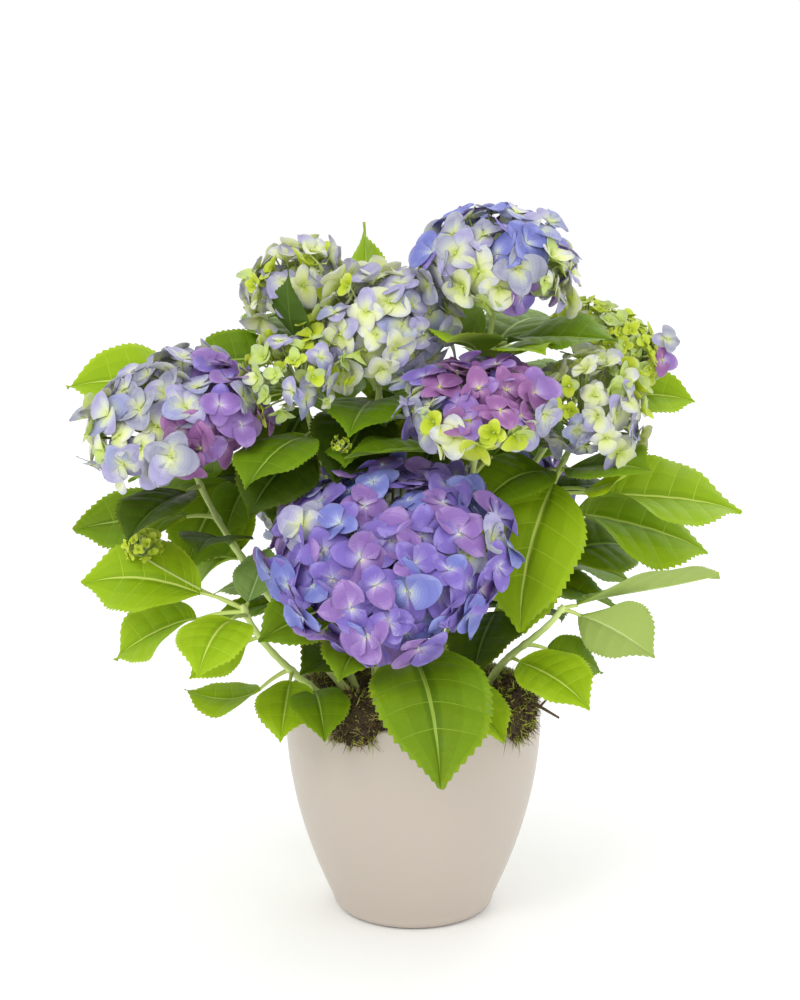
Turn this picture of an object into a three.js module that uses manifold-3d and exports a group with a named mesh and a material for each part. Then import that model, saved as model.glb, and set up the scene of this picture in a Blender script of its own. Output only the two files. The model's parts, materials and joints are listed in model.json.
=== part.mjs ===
// A potted bigleaf hydrangea: a plain round pot filled with soil and edged with moss, canes that rise from
// the soil, and on each cane a leafy shoot that may end in a round head of flowers.
// Millimetres, +Z up, -Y to the front. The origin is the centre of the pot's flat underside.
// Angles are in degrees. An azimuth is measured from +X towards +Y, a pitch from level upwards.
import * as THREE from "three";
import { mergeVertices } from "three/addons/utils/BufferGeometryUtils.js";
import Module from "manifold-3d";

const wasm = await Module();
wasm.setup();

const UP = new THREE.Vector3(0, 0, 1);
const FRONT = new THREE.Vector3(0, -1, 0);
const GAP = 0.35; // between neighbouring pieces

// Pot: a rounded bowl that widens to its shoulder and then runs straight up to the rim
const POT_RADIUS = 100;
const POT_HEIGHT = 176;
const POT_SHOULDER = 152; // height where it stops widening
const POT_TAPER = 0.4; // share of the radius that is lost from the shoulder down to the foot
const POT_TAPER_POWER = 1.85;
const POT_CORNER = 9; // rounding of the foot's edge
const POT_WALL = 6;
const POT_FLOOR = 8;
const RIM_ROUND = 1.5;
const POT_SIDES = 28;
const OUTSIDE_STEPS = 5; // from the foot to the shoulder
const INSIDE_STEPS = 3;

// Filling: soil up to just under the rim, and a ring of moss that lies on it around the canes
const SOIL_TOP = 167;
const MOSS_INNER = 67; // radius
const MOSS_OUTER = 93;
const MOSS_EDGE = 172; // height at the wall
const MOSS_CROWN = 180;
const MOSS_SIDES = 16;
const MOSS_ROUGHNESS = 2.5;
// Clumps of moss that hang over the rim
const MOSS_CLUMPS = [
  { azimuth: -118, width: 50, depth: 38, bottom: 160, top: 204 },
  { azimuth: -38, width: 44, depth: 40, bottom: 154, top: 208 },
];
const CLUMP_SWELLING = 0.09;

// Stems: a cane keeps its first direction for a while and arrives in the direction of its head
const CANE_RADIUS = 3.3; // at the soil
const NECK_RADIUS = 2.2; // under the flowers
const CANE_RISE = 0.4; // share of the length
const CANE_ARRIVAL = 0.3;
const NECK_START = 0.9; // share of the length from which the stem is part of the flower head
const CANE_ROOT = -0.03; // share of the length that is cut off level with the soil
const CANE_SIDES = 5;
const CANE_STEPS = 3;
const TWIG_SIDES = 4;
const TWIG_STEPS = 4;

// Leaves: a square stalk, then an oval blade that is folded along its midrib and droops to its tip
const LEAF_THICKNESS = 1.4;
const LEAF_WIDTH = 0.72; // of its length
const LEAF_WIDEST = 0.45; // share of the length
const LEAF_FOLD = 14; // degrees that each half rises from the midrib
const STALK_WIDTH = 3.2;
const BLADE_ROWS = [0, 0.26, 0.66, 1]; // shares of the blade's length
const LEAF_CLEARANCE = 1.2;

// Flower heads: a rounded core that four-petalled florets stand out of
const CORE_SHARE = 0.74; // of the head's half sizes
const CORE_STEPS = 1;
const STEM_END = 0.3; // share of the head's depth from its centre down to the end of its stem
const FLORET_RADIUS = 22;
const FLORET_VARIATION = 0.2; // of the radius
const FLORET_NOTCH = 0.34; // depth between petals, as a share of the radius
const FLORET_DISH = 3;
const FLORET_ROOT = 0.1; // how far its point reaches into the core, as a share of the head
const FLORET_REACH = 112; // degrees from the head's top to its lowest florets
const FLORET_SIZES = [1, 0.8, 0.6]; // tried in turn where a floret would touch a neighbour
const GOLDEN_ANGLE = Math.PI * (3 - Math.sqrt(5));
const FIRST_SEED = 11;

const POT_COLOUR = 0xc9bcae;
const SOIL_COLOUR = 0x2e2018;
const MOSS_COLOUR = 0x5f5a22;
const CANE_COLOUR = 0x7d8c45;
const LEAF_COLOUR = 0x6f9c1f;
const VIOLET = 0x7763c0;
const PURPLE = 0x9a62b4;
const LILAC = 0x9d93c4;
const CREAM = 0xc3cf8e;
const LIME = 0xa9c93c;
const HEAD_COLOURS = {
  front: VIOLET,
  left: LILAC,
  back_left: CREAM,
  upper_left: CREAM,
  small: LIME,
  top: VIOLET,
  mid_purple: PURPLE,
  mid_cream: CREAM,
  far_right: LIME,
  rear_left: LILAC,
  rear_right: VIOLET,
};

// One row for each cane: foot is where it leaves the soil, and starts the azimuth and pitch it sets out
// with, where that isn't straight up. A head has its centre, its width and depth, the azimuth it faces and
// its tilt from upright. A shoot without a head ends at its tip and leans there. bare is the share of the
// cane's length under its first leaf.
// One row for each leaf: its place along the cane, the azimuth and pitch from its base to its tip, its
// stalk, its length, how many degrees it droops on the way, and how far its face is turned to the front.
const SHOOTS = [
  {
    name: "front",
    foot: [-6, -24],
    starts: [-90, 75],
    bare: 0.2,
    head: { centre: [-19, -95, 312], size: [190, 104], faces: -95, tilt: 33, florets: 30 },
    leaves: [
      [0.5, -77, -38, 45, 124, 75, 0],
      [0.24, -50, -17, 45, 75, 30, 10],
      [0.28, -135, 4, 38, 75, 40, 10],
      [0.7, -110, -14, 50, 70, 30, 10],
      [0.87, -156, -16, 41, 70, 26, 53],
    ],
  },
  {
    name: "left",
    foot: [-46, 4],
    starts: [178, 50],
    bare: 0.25,
    head: { centre: [-180, -20, 398], size: [154, 92], faces: -130, tilt: 22, florets: 24 },
    leaves: [
      [0.72, 175, -9, 24, 90, 20, 40],
      [0.85, -120, -15, 20, 82, 30, 0],
      [0.6, -105, 10, 12, 78, 40, 0],
      [0.55, 132, -21, 6, 76, 30, 70],
      [0.48, 119, 10, 29, 80, 38, 41],
    ],
  },
  {
    name: "low_left",
    foot: [-52, -34],
    starts: [-168, 43],
    bare: 0.2,
    tip: [-129, -65, 265],
    lean: { faces: 175, tilt: 20 },
    leaves: [
      [0.97, 165, 0, 36, 98, 35, 45],
      [0.95, 163, -30, 40, 80, 35, 45],
      [0.92, -106, -18, 36, 78, 60, 0],
      [0.96, 68, 42, 8, 52, 0, 0],
      [0.75, -172, -30, 8, 55, 20, 45],
      [0.44, 163, -6, 30, 66, -60, 20],
      [0.42, -95, -30, 14, 62, 30, 0],
      [0.28, -80, -21, 30, 62, 60, 0],
    ],
  },
  {
    name: "mid_left",
    foot: [-46, 34],
    starts: [160, 65],
    bare: 0.3,
    tip: [-150, 66, 402],
    lean: { faces: 170, tilt: 30 },
    leaves: [
      [0.97, 175, 3, 28, 104, 20, 40],
      [0.97, -58, 20, 10, 70, 20, 0],
      [0.85, 100, 5, 20, 110, 40, 0],
      [0.6, 160, 0, 24, 112, 40, 10],
      [0.72, -120, -44, 14, 60, 40, 10],
      [0.77, -143, -56, 22, 90, 33, 43],
    ],
  },
  {
    name: "back_left",
    foot: [-30, 36],
    bare: 0.35,
    head: { centre: [-90, 50, 486], size: [92, 74], faces: 160, tilt: 20, florets: 11 },
    leaves: [
      [0.86, 165, -5, 32, 84, 15, 40],
      [0.88, -111, 64, 33, 78, -76, 44],
      [0.85, 125, 10, 16, 96, 50, 0],
      [0.65, 110, 5, 24, 110, 50, 0],
      [0.5, 130, 0, 26, 96, 45, 0],
      [0.82, -145, -70, 29, 96, 40, 39],
    ],
  },
  {
    name: "upper_left",
    foot: [-14, 8],
    bare: 0.35,
    head: { centre: [-24, 6, 464], size: [118, 92], faces: -80, tilt: 22, florets: 19 },
    leaves: [
      [0.84, -102, -5, 18, 86, 40, 0],
      [0.8, -85, 5, 14, 50, 10, 0],
      [0.65, -105, 7, 20, 90, 40, 0],
      [0.85, -109, -25, 15, 95, 20, 25],
    ],
  },
  {
    name: "small",
    foot: [-26, -10],
    bare: 0.4,
    head: { centre: [-86, -36, 436], size: [86, 60], faces: -110, tilt: 25, florets: 11 },
    leaves: [
      [0.85, -120, -13, 12, 88, 25, 0],
      [0.66, 176, 0, 16, 74, 30, 30],
      [0.8, -125, -27, 11, 85, 49, 33],
    ],
  },
  {
    name: "top",
    foot: [14, 14],
    bare: 0.35,
    head: { centre: [64, 15, 509], size: [130, 98], faces: -60, tilt: 10, florets: 18 },
    leaves: [
      [0.86, 131, 15, 12, 88, 10, 20],
      [0.88, -20, 7, 16, 88, 15, 10],
      [0.84, -110, 16, 14, 82, 30, 0],
      [0.82, -62, 14, 14, 82, 30, 0],
      [0.76, 73, 1, 37, 92, 36, -12],
      [0.84, 60, 5, 18, 100, 45, 0],
      [0.56, 5, 0, 20, 90, 45, 0],
      [0.8, -148, -54, 20, 96, 17, 27],
    ],
  },
  {
    name: "mid_purple",
    foot: [16, -20],
    bare: 0.3,
    head: { centre: [45, -65, 417], size: [118, 66], faces: -95, tilt: 18, florets: 15 },
    leaves: [
      [0.88, -166, 4, 22, 79, 21, -3],
      [0.81, 50, 8, 27, 94, 38, 29],
    ],
  },
  {
    name: "mid_cream",
    foot: [34, 2],
    starts: [-10, 65],
    bare: 0.25,
    head: { centre: [135, -20, 406], size: [92, 90], faces: -50, tilt: 35, florets: 13 },
    leaves: [
      [0.88, -118, -60, 24, 124, 50, 0],
      [0.72, 10, -10, 44, 116, 20, 26],
      [0.66, 16, -20, 30, 120, 25, 40],
      [0.74, -48, 28, 42, 48, -30, 40],
      [0.83, -50, 10, 14, 86, 15, 20],
      [0.68, 130, 17, 10, 88, 10, 0],
      [0.45, 34, -5, 40, 92, 25, 40],
      [0.83, -135, -10, 11, 82, 43, 21],
      [0.6, -100, -62, 16, 72, 40, 0],
      [0.35, -106, -27, 28, 82, 39, -16],
    ],
  },
  {
    name: "low_right",
    foot: [54, -28],
    bare: 0.2,
    tip: [112, -70, 266],
    lean: { faces: 10, tilt: 30 },
    leaves: [
      [0.97, 25, 3, 14, 126, 10, -34],
      [0.97, 26, -32, 18, 77, 22, -74],
      [0.45, -48, -14, 12, 77, 25, 25],
      [0.6, 21, -28, 20, 54, 25, 40],
    ],
  },
  {
    name: "far_right",
    foot: [34, 44],
    bare: 0.35,
    head: { centre: [152, 75, 438], size: [100, 66], faces: 10, tilt: 28, florets: 11 },
    leaves: [
      [0.88, 5, -2, 27, 72, 14, 41],
      [0.85, 90, 5, 16, 104, 45, 0],
      [0.8, 30, 0, 20, 104, 40, 20],
      [0.62, 70, 0, 24, 110, 45, 0],
      [0.5, 20, -5, 30, 90, 45, 0],
    ],
  },
  {
    name: "mid_rear",
    foot: [0, 48],
    bare: 0.35,
    tip: [-32, 84, 436],
    lean: { faces: 100, tilt: 15 },
    leaves: [
      [0.97, 104, 69, 20, 88, 0, 100],
      [0.9, 40, 25, 20, 100, 40, 0],
      [0.86, 130, 10, 20, 106, 45, 0],
      [0.74, 75, 10, 20, 110, 50, 0],
      [0.6, 100, -10, 30, 84, 45, 0],
      [0.48, 80, 14, 26, 96, 45, 0],
      [0.9, -61, -67, 10, 95, 16, 23],
    ],
  },
  {
    name: "rear_left",
    foot: [-22, 58],
    bare: 0.25,
    head: { centre: [-66, 148, 290], size: [128, 88], faces: 110, tilt: 42, florets: 11 },
    leaves: [
      [0.65, 165, -15, 20, 112, 30, 0],
      [0.6, 110, -20, 34, 112, 60, 0],
      [0.4, 170, -10, 24, 110, 40, 0],
      [0.31, 95, -10, 34, 100, 60, 0],
    ],
  },
  {
    name: "rear_right",
    foot: [24, 56],
    bare: 0.25,
    head: { centre: [72, 153, 297], size: [132, 90], faces: 65, tilt: 42, florets: 12 },
    leaves: [
      [0.7, 0, -10, 20, 116, 30, 0],
      [0.6, 55, -20, 34, 112, 60, 0],
      [0.45, -5, -5, 26, 112, 40, 0],
      [0.3, 40, -15, 30, 104, 50, 0],
    ],
  },
];

const radians = THREE.MathUtils.degToRad;
const lerp = THREE.MathUtils.lerp;

// A seeded source of numbers from 0 to 1.
function seeded(seed) {
  let state = seed;
  return () => {
    state = (state * 1664525 + 1013904223) >>> 0;
    return state / 2 ** 32;
  };
}

function direction(azimuth, pitch) {
  const level = Math.cos(radians(pitch));
  return new THREE.Vector3(
    level * Math.cos(radians(azimuth)),
    level * Math.sin(radians(azimuth)),
    Math.sin(radians(pitch)),
  );
}

function solid(geometry) {
  geometry.deleteAttribute("normal");
  geometry.deleteAttribute("uv");
  const merged = mergeVertices(geometry, 1e-3);
  return new wasm.Manifold(
    new wasm.Mesh({
      numProp: 3,
      vertProperties: merged.getAttribute("position").array,
      triVerts: new Uint32Array(merged.index.array),
    }),
  );
}

function mesh(name, body, colour) {
  const found = body.getMesh();
  const geometry = new THREE.BufferGeometry();
  geometry.setAttribute("position", new THREE.BufferAttribute(found.vertProperties, 3));
  geometry.setIndex(new THREE.BufferAttribute(found.triVerts, 1));
  geometry.computeVertexNormals();
  const material = new THREE.MeshStandardMaterial({ color: colour, roughness: 0.6, metalness: 0 });
  const made = new THREE.Mesh(geometry, material);
  made.name = name;
  return made;
}

// Moves every vertex of a geometry to where place(x, y, z) puts it.
function shaped(geometry, place) {
  const position = geometry.getAttribute("position");
  for (let i = 0; i < position.count; i++) {
    const moved = place(position.getX(i), position.getY(i), position.getZ(i));
    position.setXYZ(i, moved.x, moved.y, moved.z);
  }
  return geometry;
}

function turned(points, sides) {
  const profile = points.map(([radius, height]) => new THREE.Vector2(radius, height));
  return new THREE.LatheGeometry(profile, sides).rotateX(Math.PI / 2);
}

const joined = (bodies) => bodies.reduce((all, body) => all.add(body));

const touches = (body, others) => others.some((other) => !body.intersect(other).isEmpty());

// Pot and filling

function potRadius(height) {
  const below = Math.max(0, POT_SHOULDER - height) / POT_SHOULDER;
  return POT_RADIUS * (1 - POT_TAPER * below ** POT_TAPER_POWER);
}

// Heights of the side in even steps up to the shoulder, then the top.
function sideHeights(bottom, top, steps) {
  const heights = [];
  for (let i = 0; i <= steps; i++) {
    heights.push(lerp(bottom, POT_SHOULDER, i / steps));
  }
  return [...heights, top];
}

// The pot, or with grow over 0 the same pot that much thicker all round, to cut its neighbours with.
function potSolid(grow = 0) {
  const corner = potRadius(POT_CORNER);
  const rim = POT_HEIGHT - RIM_ROUND;
  const outside = sideHeights(POT_CORNER, rim, OUTSIDE_STEPS).map((z) => [potRadius(z) + grow, z]);
  const inside = sideHeights(POT_FLOOR - grow, rim, INSIDE_STEPS).map((z) => [
    potRadius(z) - POT_WALL - grow,
    Math.max(z, POT_FLOOR + grow),
  ]);
  return solid(
    turned(
      [
        [0, -grow],
        [corner - POT_CORNER, -grow],
        [corner - 0.3 * POT_CORNER + grow, 0.3 * POT_CORNER],
        ...outside,
        [POT_RADIUS - RIM_ROUND, POT_HEIGHT + grow],
        [POT_RADIUS - POT_WALL + RIM_ROUND, POT_HEIGHT + grow],
        ...inside.reverse(),
        [0, POT_FLOOR + grow],
      ],
      POT_SIDES,
    ),
  );
}

function soilSolid() {
  const side = sideHeights(POT_FLOOR, SOIL_TOP, INSIDE_STEPS).map((z) => [
    potRadius(z) - POT_WALL - GAP,
    Math.max(z, POT_FLOOR + GAP),
  ]);
  return solid(turned([[0, POT_FLOOR + GAP], ...side, [0, SOIL_TOP]], POT_SIDES));
}

// All the room inside the pot up to the moss, out to the middle of the wall.
function soilRoom() {
  const radius = POT_RADIUS - POT_WALL / 2;
  const top = SOIL_TOP + GAP;
  const room = turned(
    [
      [0, POT_FLOOR],
      [radius, POT_FLOOR],
      [radius, top],
      [0, top],
    ],
    POT_SIDES,
  );
  return solid(room);
}

// Low bumps that depend only on the place, so that vertices at one place stay together.
function bump(x, y, z = 0) {
  return Math.sin(x / 5 + 1) * Math.sin(y / 6 + 2) + Math.sin(x / 11 - y / 9 + z / 6);
}

function mossRing() {
  const bottom = SOIL_TOP + GAP;
  const profile = [
    [MOSS_INNER, bottom],
    [MOSS_OUTER, bottom],
    [MOSS_OUTER, MOSS_EDGE],
    [(MOSS_INNER + MOSS_OUTER) / 2, MOSS_CROWN],
    [MOSS_INNER + 2, MOSS_EDGE],
    [MOSS_INNER, bottom],
  ];
  return solid(
    shaped(turned(profile, MOSS_SIDES), (x, y, z) => {
      const rough = z > MOSS_EDGE + 1 ? MOSS_ROUGHNESS * bump(x, y) : 0;
      return new THREE.Vector3(x, y, z + rough);
    }),
  );
}

function mossClump({ azimuth, width, depth, bottom, top }) {
  const height = top - bottom;
  const centre = direction(azimuth, 0).multiplyScalar(POT_RADIUS - POT_WALL);
  centre.z = (bottom + top) / 2;
  return solid(
    shaped(new THREE.IcosahedronGeometry(0.5, 2), (x, y, z) => {
      const swelling = 1 + CLUMP_SWELLING * bump(x * width, y * depth, z * height);
      return new THREE.Vector3(x * depth, y * width, z * height)
        .multiplyScalar(swelling)
        .applyAxisAngle(UP, radians(azimuth))
        .add(centre);
    }),
  );
}

// Stems

// The line of a cane, from its foot on the soil to its end.
function caneLine({ foot, starts = [0, 90], head, tip, lean }) {
  const { faces, tilt } = head ?? lean;
  const arrival = direction(faces, 90 - tilt);
  const start = new THREE.Vector3(foot[0], foot[1], SOIL_TOP + GAP);
  const end = new THREE.Vector3(...(head ? head.centre : tip));
  if (head) end.addScaledVector(arrival, -STEM_END * head.size[1]);
  const length = start.distanceTo(end);
  return new THREE.CubicBezierCurve3(
    start,
    start.clone().addScaledVector(direction(...starts), CANE_RISE * length),
    end.clone().addScaledVector(arrival, -CANE_ARRIVAL * length),
    end,
  );
}

// A tapering limb along a line, from one share of it to another.
function limb(line, from, to, sides, steps, grow = 0) {
  const across = line.getTangent((from + to) / 2).cross(FRONT).normalize();
  const rod = new THREE.CylinderGeometry(1, 1, 1, sides, steps);
  return solid(
    shaped(rod, (x, y, z) => {
      const share = lerp(from, to, y + 0.5);
      const tangent = line.getTangent(Math.max(0, share));
      const second = tangent.clone().cross(across).normalize();
      const first = second.clone().cross(tangent);
      const radius = lerp(CANE_RADIUS, NECK_RADIUS, share) + grow;
      return line
        .getPoint(share)
        .addScaledVector(first, x * radius)
        .addScaledVector(second, -z * radius);
    }),
  );
}

// Leaves

// Half of the blade's width at a share of its length, as a share of its full half width.
function bladeOutline(share) {
  const rise = Math.min(1, share / LEAF_WIDEST);
  const fall = Math.max(0, (share - LEAF_WIDEST) / (1 - LEAF_WIDEST));
  return Math.sin((rise * Math.PI) / 2) ** 0.8 * (1 - fall ** 1.9);
}

// The cross sections of a leaf, from the inside of the stem along the stalk and the blade to the tip.
function leafSections(line, [place, azimuth, pitch, stalk, length, droop, turn], grow) {
  const heading = (share) => direction(azimuth, pitch + droop * (0.5 - Math.max(0, share)));
  const side = direction(azimuth, 0).cross(UP);
  const point = line.getPoint(place);
  let last = -stalk / length;
  return [last, ...BLADE_ROWS].map((share) => {
    point.addScaledVector(heading((share + last) / 2), (share - last) * length);
    last = share;
    const ahead = heading(share);
    const toFront = Math.sign(side.dot(FRONT)) * radians(turn) * Math.max(0, share) ** 0.3;
    const facing = side.clone().cross(ahead).applyAxisAngle(ahead, toFront);
    const blade = share > 0;
    const half = blade ? (bladeOutline(share) * LEAF_WIDTH * length) / 2 : 0;
    return {
      point: point.clone(),
      side: ahead.clone().cross(facing),
      facing,
      half: Math.max(STALK_WIDTH / 2, half) + grow,
      thickness: (blade ? LEAF_THICKNESS : STALK_WIDTH) + 2 * grow,
      fold: blade ? radians(LEAF_FOLD) : 0,
    };
  });
}

// A leaf, or with grow over 0 a larger one, to try whether it has room.
function leafSolid(line, leaf, grow = 0) {
  const sections = leafSections(line, leaf, grow);
  const box = new THREE.BoxGeometry(2, 1, 1, 2, sections.length - 1, 1);
  return solid(
    shaped(box, (x, y, z) => {
      const { point, side, facing, half, thickness, fold } =
        sections[Math.round((y + 0.5) * (sections.length - 1))];
      return point
        .clone()
        .addScaledVector(side, x * half * Math.cos(fold))
        .addScaledVector(facing, Math.abs(x) * half * Math.sin(fold) + z * thickness);
    }),
  );
}

// Flower heads

// From a head's own frame, centred on it with its axis up, to its place on the plant.
function headFrame({ faces, tilt, centre }) {
  const turn = new THREE.Quaternion().setFromUnitVectors(UP, direction(faces, 90 - tilt));
  const scale = new THREE.Vector3(1, 1, 1);
  return new THREE.Matrix4().compose(new THREE.Vector3(...centre), turn, scale).elements;
}

function coreSolid(head, grow = 0) {
  const [wide, deep] = head.size.map((size) => (CORE_SHARE * size) / 2 + grow);
  const core = new THREE.IcosahedronGeometry(1, CORE_STEPS).scale(wide, wide, deep);
  return solid(core).transform(headFrame(head));
}

// A floret is a cone: its wide end is the open flower with its four petals, its point is in the core.
function floretSolid(head, place, radius, spin, grow = 0) {
  const [wide, deep] = head.size.map((size) => size / 2);
  const centre = new THREE.Vector3(place.x * wide, place.y * wide, place.z * deep);
  const out = new THREE.Vector3(place.x / wide, place.y / wide, place.z / deep).normalize();
  const turn = new THREE.Quaternion().setFromUnitVectors(UP, out);
  const root = centre.clone().multiplyScalar(CORE_SHARE - FLORET_ROOT);
  const cone = new THREE.ConeGeometry(1, 1, 8);
  return solid(
    shaped(cone, (x, y, z) => {
      if (y > 0) return root;
      const rim = Math.hypot(x, z);
      if (rim < 0.5) return centre.clone().addScaledVector(out, grow - FLORET_DISH);
      const petal = Math.abs(Math.cos(2 * Math.atan2(x, z))) > 0.5;
      const reach = (petal ? radius : radius * (1 - FLORET_NOTCH)) + grow;
      return new THREE.Vector3(x * reach, z * reach, grow)
        .applyAxisAngle(UP, spin)
        .applyQuaternion(turn)
        .add(centre);
    }),
  ).transform(headFrame(head));
}

// The florets in a spiral from the head's top down, without those that would touch a neighbour.
function floretSolids(head, seed, others) {
  const random = seeded(seed);
  const lowest = Math.cos(radians(FLORET_REACH));
  const florets = [];
  for (let i = 0; i < head.florets; i++) {
    const z = lerp(1, lowest, (i + 0.5) / head.florets);
    const level = Math.sqrt(1 - z * z);
    const angle = i * GOLDEN_ANGLE;
    const place = new THREE.Vector3(level * Math.cos(angle), level * Math.sin(angle), z);
    const radius = FLORET_RADIUS * (1 + FLORET_VARIATION * (random() - 0.5));
    const spin = random() * Math.PI;
    const size = FLORET_SIZES.find(
      (share) => !touches(floretSolid(head, place, share * radius, spin, GAP), others),
    );
    if (size) florets.push(floretSolid(head, place, size * radius, spin));
  }
  return florets;
}

// The whole plant

const group = new THREE.Group();
const add = (name, body, colour) => group.add(mesh(name, body, colour));

const stems = SHOOTS.map((shoot) => {
  const line = caneLine(shoot);
  const gap = GAP / line.getLength();
  const top = shoot.head ? NECK_START : 1;
  return {
    ...shoot,
    line,
    cane: limb(line, CANE_ROOT, shoot.bare, CANE_SIDES, CANE_STEPS).subtract(soilRoom()),
    twig: limb(line, shoot.bare + gap, top, TWIG_SIDES, TWIG_STEPS),
    neck: shoot.head ? limb(line, top + gap, 1, TWIG_SIDES, 1) : null,
    room: limb(line, CANE_ROOT, 0.99, CANE_SIDES, TWIG_STEPS, 2 * GAP),
  };
});
const flowering = stems.filter((stem) => stem.head);
const roomsExcept = (stem) => stems.filter((other) => other !== stem).map((other) => other.room);

const moss = joined([mossRing(), ...MOSS_CLUMPS.map(mossClump)])
  .subtract(potSolid(GAP))
  .subtract(soilRoom())
  .subtract(joined(stems.map(({ room }) => room)));
add("pot", potSolid(), POT_COLOUR);
add("soil", soilSolid(), SOIL_COLOUR);
add("moss", moss, MOSS_COLOUR);

// A leaf that would touch the pot, a stem, a head's core or an earlier shoot is left out.
const shoots = [];
const inTheWay = [potSolid(GAP), moss, ...flowering.map(({ head }) => coreSolid(head, 2 * GAP))];
for (const stem of stems) {
  const others = [...inTheWay, ...shoots, ...roomsExcept(stem)];
  const leaves = stem.leaves
    .filter((leaf) => !touches(leafSolid(stem.line, leaf, LEAF_CLEARANCE), others))
    .map((leaf) => leafSolid(stem.line, leaf));
  const shoot = joined([stem.twig, ...leaves]);
  shoots.push(shoot);
  add(`cane_${stem.name}`, stem.cane, CANE_COLOUR);
  add(`leafy_shoot_${stem.name}`, shoot, LEAF_COLOUR);
}

const heads = [];
flowering.forEach((stem, i) => {
  const { head, neck, name } = stem;
  const cores = flowering.filter((other) => other !== stem).map((other) => coreSolid(other.head, GAP));
  const florets = floretSolids(head, FIRST_SEED + i, [
    ...shoots,
    ...heads,
    ...cores,
    ...roomsExcept(stem),
  ]);
  const flowers = joined([coreSolid(head), neck, ...florets]);
  heads.push(flowers);
  add(`flower_head_${name}`, flowers, HEAD_COLOURS[name]);
});

export default group;
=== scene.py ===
"""A potted bigleaf hydrangea. Its shoots, leaves and heads follow the same plan as the solids, carried on to
toothed and veined leaves, four-petalled florets, moss and a smooth pot.

The plan is in millimetres, with +Z up and -Y to the front, and turns to metres as each mesh is made. Angles
are in degrees: an azimuth is measured from +X towards +Y, a pitch from level upwards.
"""
import json
import math

import bpy
import numpy as np
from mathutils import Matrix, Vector


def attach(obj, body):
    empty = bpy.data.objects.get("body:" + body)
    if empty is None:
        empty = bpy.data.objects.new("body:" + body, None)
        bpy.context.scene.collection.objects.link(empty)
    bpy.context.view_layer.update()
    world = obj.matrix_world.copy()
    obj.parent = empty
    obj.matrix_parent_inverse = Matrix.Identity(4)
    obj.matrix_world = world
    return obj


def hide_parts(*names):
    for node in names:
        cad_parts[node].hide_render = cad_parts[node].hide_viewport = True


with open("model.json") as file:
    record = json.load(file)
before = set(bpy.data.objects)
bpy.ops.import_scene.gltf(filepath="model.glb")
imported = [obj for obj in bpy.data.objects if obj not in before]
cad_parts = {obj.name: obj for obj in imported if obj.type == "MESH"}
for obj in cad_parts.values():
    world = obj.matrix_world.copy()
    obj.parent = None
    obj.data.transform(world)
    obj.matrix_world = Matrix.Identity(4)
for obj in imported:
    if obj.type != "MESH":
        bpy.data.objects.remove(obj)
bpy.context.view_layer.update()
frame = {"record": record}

MM = 0.001
UP = np.array([0.0, 0.0, 1.0])
FRONT = np.array([0.0, -1.0, 0.0])

# Pot
POT_RADIUS = 100
POT_HEIGHT = 176
POT_SHOULDER = 152
POT_TAPER = 0.4
POT_TAPER_POWER = 1.85
POT_CORNER = 9
POT_WALL = 6
POT_FLOOR = 8
FOOT_BAND = 6  # width of the ring round the foot that the pot stands on
FOOT_HOLLOW = 0.6  # how far the middle of the underside is raised
RIM_ROUND = 2.4
POT_SIDES = 144
AXIS = 0.01  # radius of the tiny hole in the middle of a turned surface

# Soil and moss
SOIL_TOP = 167
SOIL_SIDES = 96
SOIL_CRUMBS = 320
MOSS_INNER = 66
MOSS_OUTER = 93.4
MOSS_CROWN = 179
MOSS_SIDES = 220
RING_STRANDS = 1900
CLUMP_GRID = (30, 48)
CLUMP_STRANDS = 1600
CLUMP_CRUMBS = 260
HANGING_STRANDS = 60
MOSS_CLUMPS = [
    {"azimuth": -118, "width": 50, "depth": 38, "bottom": 160, "top": 204, "green": 0.25},
    {"azimuth": -38, "width": 44, "depth": 40, "bottom": 154, "top": 208, "green": 0.5},
]

# Stems
CANE_RADIUS = 3.3
NECK_RADIUS = 2.2
CANE_RISE = 0.4
CANE_ARRIVAL = 0.3
NECK_START = 0.9
STEM_END = 0.3
STEM_SIDES = 12
NODE_SWELLING = 0.7  # where a leaf joins the stem
NODE_LENGTH = 0.009

# Leaves
LEAF_WIDTH = 0.72
LEAF_WIDEST = 0.45
LARGE_LEAF_LENGTH = 76
FIRST_TOOTH = 0.04
SPINE_STEPS = 24
LEAF_STALK = (1.9, 1.25)  # radius at the stem and at the blade

# Heads
FLORET_REACH = 112
INNER_SHARE = 3  # one floret of the inner layer to so many of the outer one
FLORET_TILT = 0.27
MOST_TILT = 0.36
FLOWER_STALK = (1.3, 1.0, 0.8, 0.7)
GOLDEN_ANGLE = math.pi * (3 - math.sqrt(5))

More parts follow.
